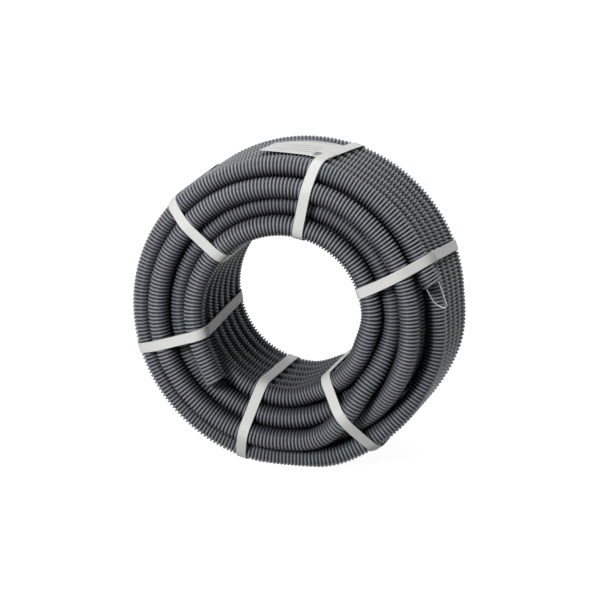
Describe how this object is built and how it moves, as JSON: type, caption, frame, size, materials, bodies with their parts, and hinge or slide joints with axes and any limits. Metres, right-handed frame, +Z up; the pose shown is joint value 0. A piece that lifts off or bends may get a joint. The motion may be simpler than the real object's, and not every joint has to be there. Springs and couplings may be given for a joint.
{
  "type": "coil of corrugated hose",
  "caption": "Standing coil of corrugated plastic hose in nested layers, held by flat strapping bands, with a card label and a draw-wire loop at its outer end.",
  "frame": {"origin": "on the floor, under the middle of the coil's box", "axes": "+Z up, the coil's axis along Y, its front towards -Y, the outer hose end on the +X side"},
  "size_m": [0.3734, 0.1954, 0.3675],
  "materials": {
    "hose": "satin dark grey corrugated plastic",
    "strap": "white woven-look strapping with fine lengthwise cords",
    "card": "matt white printed card",
    "wire": "thin drawn steel wire"
  },
  "bodies": {
    "coil": {"hose_coil": "hose", "hose_inner_end": "hose", "hose_outer_end": "hose", "label": "card", "strap_right": "strap", "strap_top": "strap", "strap_upper_left": "strap", "strap_left": "strap", "strap_bottom": "strap", "strap_lower_right": "strap"},
    "wire": {"draw_wire": "wire"}
  },
  "joints": [
    {"name": "wire_pull", "type": "slide", "parent": "coil", "child": "wire", "axis": [0.5015, 0, -0.8652], "range_m": [0, 0.018]}
  ]
}
